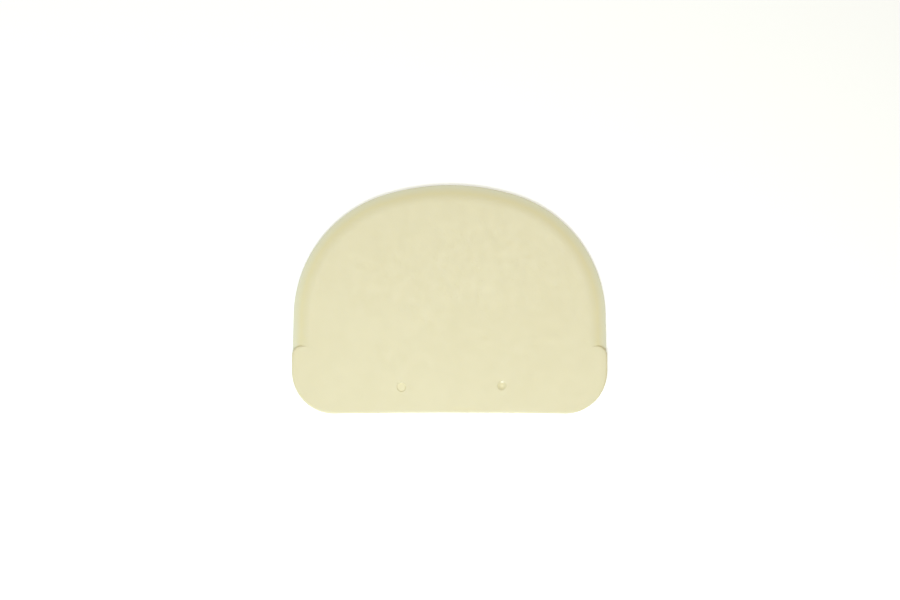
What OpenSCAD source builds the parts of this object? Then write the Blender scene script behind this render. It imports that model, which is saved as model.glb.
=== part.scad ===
// Half-moon bowl scraper, one moulded sheet of flexible plastic.
// It lies on its flat back with its face up, centred on the origin.
// X runs along the straight edge, Y from the straight edge to the top of the curve.
// Z is the thickness, with the back at zero.

/* [Outline] */
// Width across the grip band
overall_width = 120; // [106:1:150]
// Height from the straight edge to the top of the curve
overall_height = 87; // [78:1:120]
// Thickness of the sheet
plate_thickness = 2; // [1.6:0.1:3]
// Radius of the wide arc over the top
top_arc_radius = 84; // [70:1:150]
// Radius of the two arcs that turn from the top into the sides
side_arc_radius = 49; // [34:1:55]
// Lean of the straight sides above the grip, in degrees
side_lean = 1.3; // [0.5:0.1:4]
// Radius of the two corners of the straight edge
corner_radius = 16; // [8:0.5:20]
// Radius of the slight hollow along the straight edge
hollow_radius = 2750; // [1500:50:6000]

/* [Scraping lip] */
// Thickness left at the thin edge
lip_edge_thickness = 0.8; // [0.5:0.05:1.2]
// Fall of the face towards the thin edge, in degrees
lip_slope = 15; // [11:0.5:19]
// Radius that blends the slope into the flat face
lip_blend_radius = 15.5; // [6:0.5:18]
// Rounding of the thin edge on the face side
lip_edge_round = 0.25; // [0.1:0.05:0.4]

/* [Grip band] */
// Height of the full-thickness band above the straight edge
grip_height = 26; // [22:0.5:32]
// Radius of the shoulders where the band ends against the lip
shoulder_radius = 4; // [2:0.25:6]
// How far the thin edge stands in from the side of the grip
shoulder_inset = 0.33; // [0.2:0.01:1]
// Rounding of the band's edge on the face side
grip_edge_round = 0.7; // [0.3:0.05:0.9]
// Rounding of every edge on the back
back_edge_round = 0.2; // [0.1:0.05:0.3]

/* [Moulding marks] */
// Diameter of the two ejector-pin marks
pin_mark_diameter = 3.6; // [2:0.1:6]
// Depth of the flat-bottomed mark on the left
flat_mark_depth = 0.22; // [0.1:0.01:0.6]
// Depth of the dished mark on the right
dished_mark_depth = 0.4; // [0.1:0.01:0.8]
// Distance of the left mark from the middle
flat_mark_offset = 18.3; // [10:0.1:40]
// Height of the left mark above the straight edge
flat_mark_height = 10.1; // [6:0.1:20]
// Distance of the right mark from the middle
dished_mark_offset = 19.8; // [10:0.1:40]
// Height of the right mark above the straight edge
dished_mark_height = 10.6; // [6:0.1:20]
// Length of the trimmed gate on the straight edge
gate_length = 15; // [6:0.5:30]
// Depth of the trimmed gate
gate_depth = 0.1; // [0.08:0.01:0.2]
// Roundness of the trimmed gate across its length
gate_round = 8; // [4:0.5:16]
// Distance of the gate from the middle, to the right
gate_offset = 6.6; // [-20:0.1:20]
// Height of the gate's middle line above the straight edge
gate_height = 1.7; // [1:0.1:4]
// Slant of the trimmed gate, in degrees, its right end lower
gate_slant = 2.5; // [0:0.5:8]

/* [Hidden] */
$fn = 240;
// Steps of a small rounding and of the lip's long blend
round_steps = 5;
blend_steps = 8;
// Arcs are cut this much larger than a true tangent, so that neighbouring cuts cross cleanly
seam_proud = 0.01;
// How far cuts run out past the sheet, sideways and through its thickness
run_out = 40;
cut_out = 1;
half_width = overall_width / 2;

// The lip's slope meets the face here, before it is blended, measured in from the thin edge
lip_corner = (plate_thickness - lip_edge_thickness) / tan(lip_slope);
lip_width = lip_corner + lip_blend_radius * tan(lip_slope / 2);

// The curved outline: the side arc touches the leaning side line and the top arc
side_out = [cos(side_lean), sin(side_lean)];
side_up = [-sin(side_lean), cos(side_lean)];
side_foot = [half_width - shoulder_inset, grip_height];
top_center = [0, overall_height - top_arc_radius];
center_out = side_foot * side_out - side_arc_radius;
center_gap = center_out - top_center * side_out;
center_up = top_center * side_up + sqrt(pow(top_arc_radius - side_arc_radius, 2) - pow(center_gap, 2));
side_center = side_out * center_out + side_up * center_up;
top_half_angle = atan2(side_center.x - top_center.x, side_center.y - top_center.y);

// The straight edge: a very large circle under the sheet, level with the corners at its ends
corner_center = [half_width - corner_radius, corner_radius];
hollow_center = [0, -sqrt(pow(hollow_radius, 2) - pow(corner_center.x, 2))];
hollow_half_angle = asin((half_width + 4 * cut_out) / hollow_radius);
hollow_fn = 8000;
shoulder_center = [half_width - shoulder_radius, grip_height - shoulder_radius];

function turned(v, angle) = [v.x * cos(angle) - v.y * sin(angle), v.x * sin(angle) + v.y * cos(angle)];

// The points of one rounded corner, between the directions back to the last and ahead to the next point
function rounded(corner, back, ahead, radius, steps) =
    let (
        half = acos(back * ahead) / 2,
        center = corner + (back + ahead) / norm(back + ahead) * radius / sin(half),
        first = corner + back * radius / tan(half) - center
    )
    [for (i = [0:steps]) center + turned(first, (180 - 2 * half) * i / steps)];

// Sections lie with the outline at zero, minus X into the sheet and Y as the thickness.
// A waste section is what a form cutter takes away round the edge of a full-thickness sheet.
module waste_section(edge_points) {
    inner = edge_points[len(edge_points) - 1];
    polygon(concat(edge_points, [
        [inner.x, plate_thickness + cut_out],
        [run_out, plate_thickness + cut_out],
        [run_out, -cut_out],
        [edge_points[0].x, -cut_out]
    ]));
}

module lip_waste() {
    slope_back = [-cos(lip_slope), sin(lip_slope)];
    waste_section(concat(
        rounded([0, 0], [-1, 0], [0, 1], back_edge_round, round_steps),
        rounded([0, lip_edge_thickness], [0, -1], slope_back, lip_edge_round, round_steps),
        rounded([-lip_corner, plate_thickness], -slope_back, [-1, 0], lip_blend_radius, blend_steps)
    ));
}

module grip_waste() {
    waste_section(concat(
        rounded([0, 0], [-1, 0], [0, 1], back_edge_round, round_steps),
        rounded([0, plate_thickness], [0, -1], [-1, 0], grip_edge_round, round_steps)
    ));
}

// Sweeps a waste section round an arc of the outline
module round_arc(center, radius, from, to) {
    translate(center) rotate_extrude(start = from, angle = to - from) translate([radius, 0]) children();
}

// Sweeps a waste section along a straight stretch, centred on a point and facing a direction
module along_line(middle, facing, length) {
    translate(middle) rotate([0, 0, facing]) rotate([90, 0, 0]) linear_extrude(length, center = true) children();
}

module both_sides() {
    children();
    mirror([1, 0, 0]) children();
}

// The flat body with the scraping lip all round its curve, down to where the grip takes over
module blade() {
    body_foot = corner_radius;
    difference() {
        translate([-half_width, body_foot, 0])
            cube([overall_width, overall_height - body_foot + cut_out, plate_thickness]);
        round_arc(top_center, top_arc_radius, 0, 360) lip_waste();
        both_sides() {
            round_arc(side_center, side_arc_radius + seam_proud, side_lean, 90 - top_half_angle) lip_waste();
            along_line(side_foot, side_lean, 2 * overall_height) lip_waste();
        }
    }
}

// The full-thickness band along the straight edge, with its round corners and shoulders
module grip_band() {
    difference() {
        difference() {
            translate([-half_width - cut_out, -cut_out, 0])
                cube([overall_width + 2 * cut_out, grip_height + 2 * cut_out, plate_thickness]);
            along_line([0, grip_height], 90, overall_width + 4 * cut_out) grip_waste();
            both_sides() {
                along_line([half_width, grip_height / 2], 0, 2 * grip_height) grip_waste();
                round_arc(corner_center, corner_radius + seam_proud, -90, 0) grip_waste();
                round_arc(shoulder_center, shoulder_radius + seam_proud, 0, 90) grip_waste();
            }
        }
        round_arc(hollow_center, hollow_radius, 90 - hollow_half_angle, 90 + hollow_half_angle, $fn = hollow_fn)
            mirror([1, 0, 0]) grip_waste();
    }
}

// The left ejector pin left a shallow round seat with a flat floor and a leaning wall
module flat_mark() {
    radius = pin_mark_diameter / 2;
    floor_radius = radius - flat_mark_depth;
    translate([-flat_mark_offset, flat_mark_height, plate_thickness])
        rotate_extrude() polygon([
            [0, -flat_mark_depth],
            [floor_radius, -flat_mark_depth],
            [radius, 0],
            [radius + cut_out, cut_out],
            [0, cut_out]
        ]);
}

// The right pin left a dish
module dished_mark() {
    radius = pin_mark_diameter / 2;
    dish_radius = (pow(radius, 2) + pow(dished_mark_depth, 2)) / (2 * dished_mark_depth);
    translate([dished_mark_offset, dished_mark_height, plate_thickness + dish_radius - dished_mark_depth])
        sphere(dish_radius);
}

// The gate was trimmed with a shallow scoop that runs out at both ends
module gate_scoop() {
    bow = (pow(gate_length / 2, 2) + pow(gate_depth, 2)) / (2 * gate_depth);
    reach = asin(gate_length / 2 / bow);
    belly = [for (i = [-round_steps:round_steps])
        let (angle = reach * i / round_steps)
        [bow * cos(angle) - bow + gate_round, bow * sin(angle)]
    ];
    translate([gate_offset, gate_height, plate_thickness + gate_round - gate_depth])
        rotate([0, 90, -gate_slant])
        rotate_extrude() polygon(concat([[0, belly[0].y]], belly, [[0, belly[2 * round_steps].y]]));
}

module scraper() {
    color("#ebe6c8") difference() {
        union() {
            blade();
            grip_band();
        }
        flat_mark();
        dished_mark();
        gate_scoop();
    }
}

translate([0, -overall_height / 2, 0]) scraper();
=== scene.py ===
# Half-moon bowl scraper of flexible cream plastic, lying face up and seen from straight above.
# The form is worked out in millimetres, with Y measured from the straight edge.
# It becomes metres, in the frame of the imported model, when the mesh is made.
from math import acos, asin, atan2, ceil, cos, pi, radians, sin, sqrt, tan

import bpy
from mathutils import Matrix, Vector, geometry, noise


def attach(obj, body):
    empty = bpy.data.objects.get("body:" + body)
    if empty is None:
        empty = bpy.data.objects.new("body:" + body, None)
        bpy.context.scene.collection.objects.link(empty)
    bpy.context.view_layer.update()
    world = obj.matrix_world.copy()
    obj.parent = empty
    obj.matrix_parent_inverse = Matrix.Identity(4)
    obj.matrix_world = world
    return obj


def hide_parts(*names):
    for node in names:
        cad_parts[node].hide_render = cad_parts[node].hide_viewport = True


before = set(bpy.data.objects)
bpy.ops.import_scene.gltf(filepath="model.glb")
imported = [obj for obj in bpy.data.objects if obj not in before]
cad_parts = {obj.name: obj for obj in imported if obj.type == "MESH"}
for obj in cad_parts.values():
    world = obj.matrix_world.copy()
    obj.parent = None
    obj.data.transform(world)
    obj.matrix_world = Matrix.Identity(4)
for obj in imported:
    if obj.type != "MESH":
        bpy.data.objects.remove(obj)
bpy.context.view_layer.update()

MM = 0.001
BODY = "root"
NODE = "scraper"
PIECE = "scraper_sheet"

# The outline
HALF_WIDTH = 60
HEIGHT = 87
THICKNESS = 2
TOP_RADIUS = 84
SIDE_RADIUS = 49
SIDE_LEAN = radians(1.3)
CORNER_RADIUS = 16
HOLLOW_RADIUS = 2750

# The scraping lip
LIP_EDGE = 0.8
LIP_SLOPE = radians(15)
LIP_BLEND = 15.5
LIP_ROUND = 0.25

# The grip band
GRIP_HEIGHT = 26
GRIP_ROUND = 0.7
SHOULDER_RADIUS = 4
SHOULDER_INSET = 0.33
BACK_ROUND = 0.2

# The two ejector-pin marks, a flat seat and a dish, and the trimmed gate
MARK_RADIUS = 1.8
SEAT = Vector((-18.3, 10.1))
SEAT_DEPTH = 0.22
DISH = Vector((19.8, 10.6))
DISH_DEPTH = 0.4
GATE = Vector((6.6, 1.7))
GATE_LENGTH = 15
GATE_WIDTH = 2.6
GATE_DEPTH = 0.1
GATE_ROUND = 8
GATE_SLANT = radians(2.5)

# The face isn't perfectly flat: it dips this much in slow ripples
RIPPLE_DEPTH = 0.012
RIPPLE_LENGTH = 11

# How finely the mesh follows the form
EDGE_STEP = 0.8
GRID_STEP = 2.2
ROUND_STEPS = 6
BLEND_STEPS = 10
CREASE_STEPS = 24
HALVINGS = 24
STEP_WALL = 0.015
NEAR_EDGE = 0.05
MERGE_DISTANCE = 1e-4
SHARP_ANGLE = radians(38)
RING_SIDES = 48
SEAT_RINGS = (0.8, 1.2, 1.5, 1.58, 1.64, 1.74, 1.8, 1.9)
DISH_RINGS = (0.3, 0.6, 0.9, 1.2, 1.5, 1.7, 1.8, 1.9)
GATE_GRID = (44, 9)

# The plastic. Colours are linear, and the tint changes as the lip gets thinner: painted shade on the
# slope, and painted light showing through at the thin edge
CREAM = (0.735, 0.678, 0.460, 1)
CREAM_DEEP = (0.725, 0.666, 0.444, 1)
# Painted shade on the lip's slope: a deeper, yellower tone of the cream
SLOPE_SHADE_CREAM = (0.755, 0.688, 0.425, 1)
# Painted light showing through the thin edge: a paler, cooler tone of the cream
THIN_EDGE_LIT_CREAM = (0.735, 0.722, 0.560, 1)
SLOPE_HEIGHT = 1.6
FACE_TOLERANCE = 0.02
SATIN = (0.36, 0.46)
SEAT_ROUGHNESS = 0.38
DISH_ROUGHNESS = 0.2
POLISH_FADE = 0.1
PLASTIC_IOR = 1.49
GLOW_SHARE = 0.12
GLOW_RADIUS = (0.8, 0.7, 0.4)
GLOW_DEPTH = 1.5
CLOUD_SCALE = 38
SATIN_SCALE = 320
GRAIN_SCALE = 2600
GRAIN_STRENGTH = 0.25
GRAIN_DEPTH = 0.02
FLOW_SCALE = 240
FLOW_STRETCH = (0.2, 1, 1)
FLOW_STRENGTH = 0.12
FLOW_DEPTH = 0.05

# The white ground and the studio light
FLOOR_SIZE = 6
FLOOR_WHITE = (0.97, 0.97, 0.97, 1)
FLOOR_ROUGHNESS = 0.9
GROUND_LIFT = 0.12
WHITE = (1, 1, 1, 1)
WORLD_WHITE = (1, 0.955, 0.83, 1)
WORLD_STRENGTH = 0.44
LAMPS = {
    "lamp_below": dict(place=(-0.03, -0.40, 0.38), size=0.26, power=1.68, color=(0.79, 0.90, 1)),
    "lamp_left": dict(place=(-0.55, 0.02, 0.35), size=0.4, power=0.5, color=(0.6, 0.85, 1)),
    "lamp_above": dict(place=(0.02, 0.02, 1.2), size=0.5, power=3.9, color=(1, 0.96, 0.84)),
}

# The photograph, 900 x 600 pixels: the width that it shows and the point at its middle
FIELD_WIDTH = 342.4
VIEW_CENTER = Vector((0.15, -0.27))
LENS = 100
SENSOR = 36
CLIP_START = 0.01

# Places that follow from the outline
SIDE_OUT = Vector((cos(SIDE_LEAN), sin(SIDE_LEAN)))
SIDE_UP = Vector((-sin(SIDE_LEAN), cos(SIDE_LEAN)))
SIDE_FOOT = Vector((HALF_WIDTH - SHOULDER_INSET, GRIP_HEIGHT))
TOP_CENTER = Vector((0, HEIGHT - TOP_RADIUS))
CENTER_OUT = SIDE_FOOT.dot(SIDE_OUT) - SIDE_RADIUS
CENTER_GAP = CENTER_OUT - TOP_CENTER.dot(SIDE_OUT)
CENTER_UP = TOP_CENTER.dot(SIDE_UP) + sqrt((TOP_RADIUS - SIDE_RADIUS) ** 2 - CENTER_GAP ** 2)
SIDE_CENTER = SIDE_OUT * CENTER_OUT + SIDE_UP * CENTER_UP
ARC_MEETING = atan2(SIDE_CENTER.y - TOP_CENTER.y, SIDE_CENTER.x - TOP_CENTER.x)
CORNER_CENTER = Vector((HALF_WIDTH - CORNER_RADIUS, CORNER_RADIUS))
HOLLOW_CENTER = Vector((0, -sqrt(HOLLOW_RADIUS ** 2 - CORNER_CENTER.x ** 2)))
SHOULDER_CENTER = Vector((HALF_WIDTH - SHOULDER_RADIUS, GRIP_HEIGHT - SHOULDER_RADIUS))

# The lip's section, by depth in from the thin edge
LIP_CORNER = (THICKNESS - LIP_EDGE) / tan(LIP_SLOPE)
BLEND_REACH = LIP_BLEND * tan(LIP_SLOPE / 2)
BLEND_START = LIP_CORNER - BLEND_REACH * cos(LIP_SLOPE)
LIP_WIDTH = LIP_CORNER + BLEND_REACH


def blade_depth(point):
    """How far a point lies in from the blade's thin edge."""
    p = Vector((abs(point[0]), point[1]))
    arm = p - SIDE_CENTER
    angle = atan2(arm.y, arm.x)
    if angle < SIDE_LEAN:
        return (SIDE_FOOT - p).dot(SIDE_OUT)
    if angle < ARC_MEETING:
        return SIDE_RADIUS - arm.length
    return TOP_RADIUS - (p - TOP_CENTER).length


def grip_depth(point):
    """How far a point lies in from the outline of the full-thickness grip band."""
    p = Vector((abs(point[0]), point[1]))
    if p.x > SHOULDER_CENTER.x and p.y > SHOULDER_CENTER.y:
        return SHOULDER_RADIUS - (p - SHOULDER_CENTER).length
    if p.x > CORNER_CENTER.x and p.y < CORNER_CENTER.y:
        return CORNER_RADIUS - (p - CORNER_CENTER).length
    hollow_depth = (p - HOLLOW_CENTER).length - HOLLOW_RADIUS
    return min(HALF_WIDTH - p.x, GRIP_HEIGHT - p.y, hollow_depth)


def outer_depth(point):
    """How far a point lies in from the whole outline. The blade only shows above the corners."""
    depth = grip_depth(point)
    if point[1] > CORNER_RADIUS:
        depth = max(depth, blade_depth(point))
    return depth


def rounding(depth, radius):
    """Rise of a rounded edge over its first, vertical tangent point."""
    return sqrt(max(0, radius ** 2 - (radius - min(depth, radius)) ** 2))


def lip_height(depth):
    """Height of the blade's face: a small rounding, the slope and its blend into the flat."""
    depth = max(depth, 0)
    tangent = LIP_ROUND / tan((pi / 2 + LIP_SLOPE) / 2)
    if depth < tangent * cos(LIP_SLOPE):
        return LIP_EDGE - tangent + rounding(depth, LIP_ROUND)
    if depth < BLEND_START:
        return LIP_EDGE + depth * tan(LIP_SLOPE)
    if depth < LIP_WIDTH:
        return THICKNESS - LIP_BLEND + sqrt(LIP_BLEND ** 2 - (LIP_WIDTH - depth) ** 2)
    return THICKNESS


def grip_top(depth):
    """Height of the grip band's face, rounded at its edge."""
    return THICKNESS - GRIP_ROUND + rounding(max(depth, 0), GRIP_ROUND)


def seat_fall(point):
    """The flat-bottomed mark, with a wall that leans at 45 degrees."""
    return min(max(MARK_RADIUS - (point - SEAT).length, 0), SEAT_DEPTH)


def dish_fall(point):
    """The dished mark, part of a ball."""
    reach = (point - DISH).length
    if reach >= MARK_RADIUS:
        return 0
    ball = (MARK_RADIUS ** 2 + DISH_DEPTH ** 2) / (2 * DISH_DEPTH)
    return sqrt(max(0, ball ** 2 - reach ** 2)) - ball + DISH_DEPTH


def gate_fall(point):
    """The trimmed gate, scooped by a barrel that lies along it."""
    arm = point - GATE
    along = arm.x * cos(GATE_SLANT) - arm.y * sin(GATE_SLANT)
    across = arm.x * sin(GATE_SLANT) + arm.y * cos(GATE_SLANT)
    if abs(along) >= GATE_LENGTH / 2:
        return 0
    bow = ((GATE_LENGTH / 2) ** 2 + GATE_DEPTH ** 2) / (2 * GATE_DEPTH)
    belly = GATE_ROUND - bow + sqrt(max(0, bow ** 2 - along ** 2))
    return sqrt(max(0, belly ** 2 - across ** 2)) - GATE_ROUND + GATE_DEPTH


def face_height(point):
    """Height of the face: the higher of blade and grip band, less the ripple and the marks."""
    grip = grip_depth(point)
    height = lip_height(blade_depth(point)) if point[1] > CORNER_RADIUS else 0
    if grip > -STEP_WALL / 2:
        height = max(height, grip_top(grip))
    ripple = (noise.noise(Vector((*point, 0)) / RIPPLE_LENGTH) + 1) / 2
    calm = min(1, max(0, height - LIP_EDGE))
    place = Vector(point)
    marks = max(seat_fall(place), dish_fall(place), gate_fall(place), 0)
    return height - RIPPLE_DEPTH * ripple * calm - marks


def back_height(point):
    """Height of the back: flat, with a small rounding at the outline."""
    return BACK_ROUND - rounding(max(outer_depth(point), 0), BACK_ROUND)


def on_circle(center, radius, angle):
    return center + Vector((cos(angle), sin(angle))) * radius


def arc(center, radius, start, end):
    count = max(3, ceil(abs(end - start) * radius / EDGE_STEP))
    return [on_circle(center, radius, start + (end - start) * i / count) for i in range(count + 1)]


def ring(center, radius):
    return [on_circle(center, radius, 2 * pi * i / RING_SIDES) for i in range(RING_SIDES + 1)]


def straight(start, end):
    count = max(1, ceil((end - start).length / EDGE_STEP))
    return [start.lerp(end, i / count) for i in range(count + 1)]


def joined(*runs):
    """Runs of points end to end, without the double points where they meet."""
    line = []
    for point in (p for run in runs for p in run):
        if not line or (point - line[-1]).length > STEP_WALL / 10:
            line.append(point)
    return line


def flipped(line):
    return [Vector((-p.x, p.y)) for p in line]


def mirrored(half):
    """A right half followed by its mirror image, as one line from the middle round to the middle."""
    return joined(half, flipped(reversed(half)))


def both_ways(line):
    """A line on the right and its mirror image on the left."""
    return [line, flipped(line)]


def spaced(depths):
    """Depths in order, leaving out those that nearly repeat another."""
    kept = []
    for depth in sorted(depths):
        if not kept or depth - kept[-1] > STEP_WALL:
            kept.append(depth)
    return kept


def blade_curve(depth, low):
    """The right half of the curve at one depth, from a place on the side line to the top."""
    foot = SIDE_FOOT - SIDE_OUT * depth
    side_length = (SIDE_CENTER - SIDE_FOOT).dot(SIDE_UP)
    return joined(
        straight(foot + SIDE_UP * low, foot + SIDE_UP * side_length),
        arc(SIDE_CENTER, SIDE_RADIUS - depth, SIDE_LEAN, ARC_MEETING),
        arc(TOP_CENTER, TOP_RADIUS - depth, ARC_MEETING, pi / 2),
    )


def grip_curve(depth, shoulder_end):
    """The right half of the grip band's outline at one depth, from the middle to the shoulder."""
    reach = asin(CORNER_CENTER.x / HOLLOW_RADIUS)
    side_x = HALF_WIDTH - depth
    return joined(
        arc(HOLLOW_CENTER, HOLLOW_RADIUS + depth, pi / 2, pi / 2 - reach),
        arc(CORNER_CENTER, CORNER_RADIUS - depth, -pi / 2, 0),
        straight(Vector((side_x, CORNER_CENTER.y)), Vector((side_x, SHOULDER_CENTER.y))),
        arc(SHOULDER_CENTER, SHOULDER_RADIUS - depth, 0, shoulder_end),
    )


def shoulder_meeting(radius):
    """The angle at which an arc round the shoulder's centre meets the thin edge."""
    gap = (SIDE_FOOT - SHOULDER_CENTER).dot(SIDE_OUT)
    return SIDE_LEAN + acos(gap / radius)


def outline():
    """The whole outer edge, the grip band's and the blade's, meeting on the shoulders."""
    meeting = shoulder_meeting(SHOULDER_RADIUS)
    shoulder = on_circle(SHOULDER_CENTER, SHOULDER_RADIUS, meeting)
    low = (shoulder - SIDE_FOOT).dot(SIDE_UP)
    edge = mirrored(joined(grip_curve(0, meeting), blade_curve(0, low)))
    if (edge[0] - edge[-1]).length < STEP_WALL:
        edge.pop()
    return edge


def crease_place(x, edge):
    """Where, below the band's edge at one X, its rounded top comes out of the lip, by halving."""
    low, high = edge - 2 * GRIP_ROUND, edge
    for _ in range(HALVINGS):
        middle = (low + high) / 2
        if grip_top(grip_depth((x, middle))) > lip_height(blade_depth((x, middle))):
            low = middle
        else:
            high = middle
    return low


def shoulder_crease():
    """Where the rounded top of the grip band dips under the lip, on the right."""
    start = SHOULDER_CENTER.x - SHOULDER_RADIUS
    length = HALF_WIDTH - SHOULDER_CENTER.x + SHOULDER_RADIUS / 2
    crease = []
    for i in range(CREASE_STEPS + 1):
        x = start + length * i / CREASE_STEPS
        edge = GRIP_HEIGHT
        if x > SHOULDER_CENTER.x:
            edge = SHOULDER_CENTER.y + sqrt(SHOULDER_RADIUS ** 2 - (x - SHOULDER_CENTER.x) ** 2)
        y = crease_place(x, edge)
        if edge - y > STEP_WALL:
            crease.append(Vector((x, y)))
    return crease


def rounding_depths(radius, turn):
    """Depths in from an edge at even turns of its rounding."""
    return [radius * (1 - cos(turn * i / ROUND_STEPS)) for i in range(1, ROUND_STEPS + 1)]


def form_lines():
    """Every line that the mesh has to follow inside the outline."""
    back_depths = rounding_depths(BACK_ROUND, pi / 2)[1::2]
    edge_depths = rounding_depths(LIP_ROUND, pi / 2 - LIP_SLOPE)
    blend = [BLEND_START + (LIP_WIDTH - BLEND_START) * i / BLEND_STEPS for i in range(BLEND_STEPS + 1)]
    lip_depths = edge_depths + back_depths + [BLEND_START / 2] + blend
    lines = [mirrored(blade_curve(depth, -GRIP_ROUND)) for depth in spaced(lip_depths)]
    inner_x = SHOULDER_CENTER.x - SHOULDER_RADIUS
    for depth in spaced(rounding_depths(GRIP_ROUND, pi / 2) + back_depths):
        lines += both_ways(grip_curve(depth, pi / 2) + [Vector((inner_x, GRIP_HEIGHT - depth))])
    for radius in (SHOULDER_RADIUS, SHOULDER_RADIUS + STEP_WALL):
        lines += both_ways(arc(SHOULDER_CENTER, radius, shoulder_meeting(radius), pi / 2))
    lines += both_ways(shoulder_crease())
    lines += [ring(SEAT, radius) for radius in SEAT_RINGS]
    lines += [ring(DISH, radius) for radius in DISH_RINGS]
    return lines


def face_grid():
    """A triangular grid over the flat face, clear of the lines along its edges."""
    points = []
    rows = ceil(HEIGHT / GRID_STEP)
    for row in range(rows):
        for column in range(-rows, rows):
            p = Vector(((column + row % 2 / 2) * GRID_STEP, (row + 0.5) * GRID_STEP * sin(pi / 3)))
            in_blade = p.y > CORNER_RADIUS and blade_depth(p) - LIP_WIDTH > GRID_STEP / 3
            in_grip = grip_depth(p) - GRIP_ROUND > GRID_STEP / 3
            if in_blade or in_grip:
                points.append(p)
    return points


def gate_grid():
    """A finer grid over the trimmed gate."""
    points = []
    along, across = GATE_GRID
    for i in range(along + 1):
        for j in range(across + 1):
            u = (i / along - 0.5) * GATE_LENGTH
            v = (j / across - 0.5) * GATE_WIDTH
            x = u * cos(GATE_SLANT) + v * sin(GATE_SLANT)
            y = -u * sin(GATE_SLANT) + v * cos(GATE_SLANT)
            p = GATE + Vector((x, y))
            if grip_depth(p) > NEAR_EDGE:
                points.append(p)
    return points


def plan_view():
    """The sheet's plan as points and triangles that follow every line of the form."""
    points = outline()
    count = len(points)
    edges = [(i, (i + 1) % count) for i in range(count)]
    for line in form_lines():
        start = len(points)
        points += line
        edges += [(start + i, start + i + 1) for i in range(len(line) - 1)]
    points += face_grid() + gate_grid()
    plan = geometry.delaunay_2d_cdt(points, edges, [], 0, MERGE_DISTANCE, False)
    places, triangles = plan[0], plan[2]
    inside = [t for t in triangles if outer_depth(sum((places[i] for i in t), Vector((0, 0))) / 3) > 0]
    used = sorted({i for t in inside for i in t})
    renumbered = {old: new for new, old in enumerate(used)}
    return [places[i] for i in used], [tuple(renumbered[i] for i in t) for t in inside]


def sheet_mesh():
    """One closed sheet: the plan lifted to the face, laid on the back and joined by a wall."""
    plan, tops = plan_view()
    count = len(plan)
    backs = [tuple(i + count for i in reversed(t)) for t in tops]
    sides = {(t[i], t[(i + 1) % 3]) for t in tops for i in range(3)}
    rim = sorted((a, b) for a, b in sides if (b, a) not in sides)
    walls = [(b, a, a + count, b + count) for a, b in rim]
    vertices = [
        (p.x * MM, (p.y - HEIGHT / 2) * MM, height(p) * MM)
        for height in (face_height, back_height)
        for p in plan
    ]
    mesh = bpy.data.meshes.new(PIECE)
    mesh.from_pydata(vertices, [], tops + backs + walls)
    mesh.update()
    mesh.shade_smooth()
    mesh.set_sharp_from_angle(angle=SHARP_ANGLE)
    return mesh


class Shader:
    """A material with a Principled shader, and short ways to add nodes to it."""

    def __init__(self, name):
        self.material = bpy.data.materials.new(name)
        self.material.use_nodes = True
        self.tree = self.material.node_tree
        self.inputs = self.tree.nodes["Principled BSDF"].inputs

    def put(self, socket, value):
        """Links a socket to an output, or sets it to a plain value."""
        if isinstance(value, bpy.types.NodeSocket):
            self.tree.links.new(value, socket)
        else:
            socket.default_value = value

    def set(self, **values):
        """Sets sockets of the Principled shader, with _ for each space in their names."""
        for name, value in values.items():
            self.put(self.inputs[name.replace("_", " ")], value)

    def add(self, kind, **values):
        node = self.tree.nodes.new("ShaderNode" + kind)
        for name, value in values.items():
            self.put(node.inputs[name.replace("_", " ")], value)
        return node

    def place(self):
        return self.add("TexCoord").outputs["Object"]

    def noise(self, scale, detail=3.0, stretch=(1, 1, 1)):
        mapping = self.add("Mapping", Vector=self.place(), Scale=stretch)
        texture = self.add("TexNoise", Vector=mapping.outputs["Vector"], Scale=scale, Detail=detail)
        return texture.outputs["Fac"]

    def ramp(self, value, low, high, from_low=0.3, from_high=0.7):
        """The value brought from one range to another, clamped."""
        limits = dict(From_Min=from_low, From_Max=from_high, To_Min=low, To_Max=high)
        return self.add("MapRange", Value=value, **limits).outputs["Result"]

    def mix(self, share, first, second, kind="FLOAT"):
        node = self.tree.nodes.new("ShaderNodeMix")
        node.data_type = kind
        for name, value in (("Factor", share), ("A", first), ("B", second)):
            self.put(node.inputs[name], value)
        return node.outputs["Result"]

    def calculate(self, kind, operation, first, second):
        node = self.tree.nodes.new(kind)
        node.operation = operation
        self.put(node.inputs[0], first)
        self.put(node.inputs[1], second)
        return node.outputs["Value"]


def sheet_tint(cream):
    """Faint clouds in the cream, painted shade on the slope (a deeper tone) and painted light showing
    through at the thin edge (a paler one).
    """
    clouds = cream.ramp(cream.noise(CLOUD_SCALE), 0, 1)
    height = cream.add("SeparateXYZ", Vector=cream.place()).outputs["Z"]
    # Painted light showing through: how much of the paler tone the thin edge takes
    thinness = cream.ramp(height, 1, 0, LIP_EDGE * MM, SLOPE_HEIGHT * MM)
    # Painted shade: how much of the deeper tone the slope takes
    slope = cream.ramp(height, 1, 0, SLOPE_HEIGHT * MM, (THICKNESS - FACE_TOLERANCE) * MM)
    body = cream.mix(clouds, CREAM, CREAM_DEEP, "RGBA")
    sloped = cream.mix(slope, body, SLOPE_SHADE_CREAM, "RGBA")
    return cream.mix(thinness, sloped, THIN_EDGE_LIT_CREAM, "RGBA")


def sheet_roughness(cream):
    """Uneven satin, smoother where the ejector pins pressed."""
    satin = cream.ramp(cream.noise(SATIN_SCALE), *SATIN)
    for mark, roughness in ((SEAT, SEAT_ROUGHNESS), (DISH, DISH_ROUGHNESS)):
        center = (mark.x * MM, (mark.y - HEIGHT / 2) * MM, THICKNESS * MM)
        reach = cream.calculate("ShaderNodeVectorMath", "DISTANCE", cream.place(), center)
        polish = cream.ramp(reach, 1, 0, (MARK_RADIUS - POLISH_FADE) * MM, MARK_RADIUS * MM)
        satin = cream.mix(polish, satin, roughness)
    return satin


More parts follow.
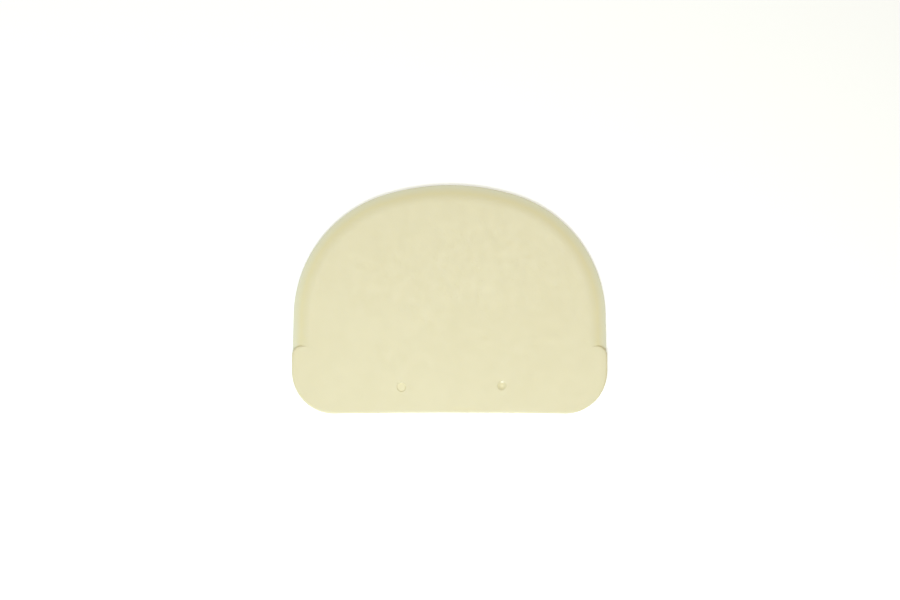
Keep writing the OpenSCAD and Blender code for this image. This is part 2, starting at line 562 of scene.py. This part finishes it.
def sheet_relief(cream):
    """Flow lines along the sheet, and the fine grain of the mould over them."""
    flow = cream.add(
        "Bump",
        Strength=FLOW_STRENGTH,
        Distance=FLOW_DEPTH * MM,
        Height=cream.noise(FLOW_SCALE, 2, FLOW_STRETCH),
    )
    grain = cream.add(
        "Bump",
        Strength=GRAIN_STRENGTH,
        Distance=GRAIN_DEPTH * MM,
        Height=cream.noise(GRAIN_SCALE, 2),
        Normal=flow.outputs["Normal"],
    )
    return grain.outputs["Normal"]


def cream_plastic():
    """Satin polypropylene that light enters a little way."""
    cream = Shader("cream_plastic")
    cream.set(
        Base_Color=sheet_tint(cream),
        Roughness=sheet_roughness(cream),
        Normal=sheet_relief(cream),
        IOR=PLASTIC_IOR,
        Subsurface_Weight=GLOW_SHARE,
        Subsurface_Radius=GLOW_RADIUS,
        Subsurface_Scale=GLOW_DEPTH * MM,
    )
    return cream.material


def floor_white():
    """Matt white that is lifted a little where the camera, a reflection or clear matter shows it."""
    floor = Shader("floor_white")
    path = floor.add("LightPath").outputs
    seen = path["Is Camera Ray"]
    for ray in ("Is Glossy Ray", "Is Transmission Ray"):
        seen = floor.calculate("ShaderNodeMath", "MAXIMUM", seen, path[ray])
    floor.set(
        Base_Color=FLOOR_WHITE,
        Roughness=FLOOR_ROUGHNESS,
        Specular_IOR_Level=0,
        Emission_Color=WHITE,
        Emission_Strength=floor.ramp(seen, 0, GROUND_LIFT, 0, 1),
    )
    return floor.material


def add_object(name, data):
    item = bpy.data.objects.new(name, data)
    bpy.context.scene.collection.objects.link(item)
    return item


def add_camera():
    """Straight above the middle of the photograph, as high as its width asks."""
    lens = bpy.data.cameras.new("camera")
    lens.lens = LENS
    lens.sensor_width = SENSOR
    lens.sensor_fit = "HORIZONTAL"
    lens.clip_start = CLIP_START
    camera = add_object("camera", lens)
    camera.location = (*(VIEW_CENTER * MM), (THICKNESS + FIELD_WIDTH * LENS / SENSOR) * MM)
    bpy.context.scene.camera = camera


def add_lamp(name, place, size, power, color):
    """A round soft lamp that faces the scraper."""
    light = bpy.data.lights.new(name, "AREA")
    light.shape = "DISK"
    light.size = size
    light.energy = power
    light.color = color
    lamp = add_object(name, light)
    lamp.location = place
    lamp.rotation_euler = (-Vector(place)).to_track_quat("-Z", "Y").to_euler()


def add_light():
    scene = bpy.context.scene
    scene.world = scene.world or bpy.data.worlds.new("studio")
    scene.world.use_nodes = True
    background = scene.world.node_tree.nodes["Background"]
    background.inputs["Color"].default_value = WORLD_WHITE
    background.inputs["Strength"].default_value = WORLD_STRENGTH
    for name, values in LAMPS.items():
        add_lamp(name, **values)


def add_floor():
    half = FLOOR_SIZE / 2
    corners = [(-half, -half, 0), (half, -half, 0), (half, half, 0), (-half, half, 0)]
    mesh = bpy.data.meshes.new("floor")
    mesh.from_pydata(corners, [], [(0, 1, 2, 3)])
    mesh.materials.append(floor_white())
    add_object("floor", mesh)


def add_scraper():
    mesh = sheet_mesh()
    mesh.materials.append(cream_plastic())
    sheet = add_object(PIECE, mesh)
    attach(sheet, BODY)
    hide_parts(NODE)


add_camera()
add_light()
add_floor()
add_scraper()
bpy.context.scene.view_settings.view_transform = "Standard"
